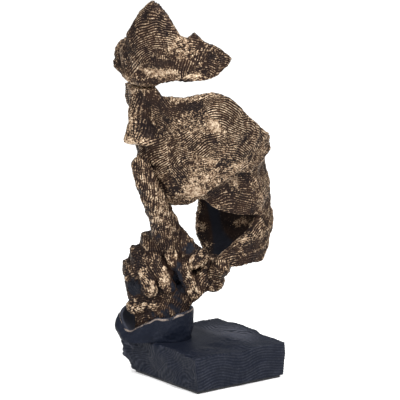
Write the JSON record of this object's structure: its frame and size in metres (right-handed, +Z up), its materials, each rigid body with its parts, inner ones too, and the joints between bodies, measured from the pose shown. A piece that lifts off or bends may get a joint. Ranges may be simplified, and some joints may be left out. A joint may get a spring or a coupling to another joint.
{
  "type": "abstract resin sculpture",
  "caption": "Ornamental sculpture of a broken hollow face with a finger raised to its lips, on a hewn block.",
  "frame": {"origin": "middle of the block's outline, on the surface that the sculpture stands on", "axes": "+Z up, -Y where the face looks, +X the sitter's left"},
  "size_m": [0.0916, 0.112, 0.2725],
  "materials": {
    "gilt_resin": "black cast resin with ridges dry-brushed in antique gold, satin",
    "black_resin": "black cast resin, blue-black, satin, with a few gold rims",
    "felt": "pressed black felt",
    "zinc_steel": "bright zinc plate"
  },
  "bodies": {
    "root": {"base_block": "black_resin", "felt_pad": "felt", "face_mask": "gilt_resin", "forehead_shard": "gilt_resin", "neck_shell": "gilt_resin", "sleeve_cuff": "black_resin", "pointing_hand": "gilt_resin", "armature_rod": "zinc_steel", "rod_nut": "zinc_steel", "rod_washer": "zinc_steel", "wrist_dowel": "zinc_steel", "jaw_pin_near": "zinc_steel", "jaw_pin_far": "zinc_steel", "lip_pin": "zinc_steel", "foot_pin": "zinc_steel", "bridge_pin": "zinc_steel"}
  },
  "joints": []
}
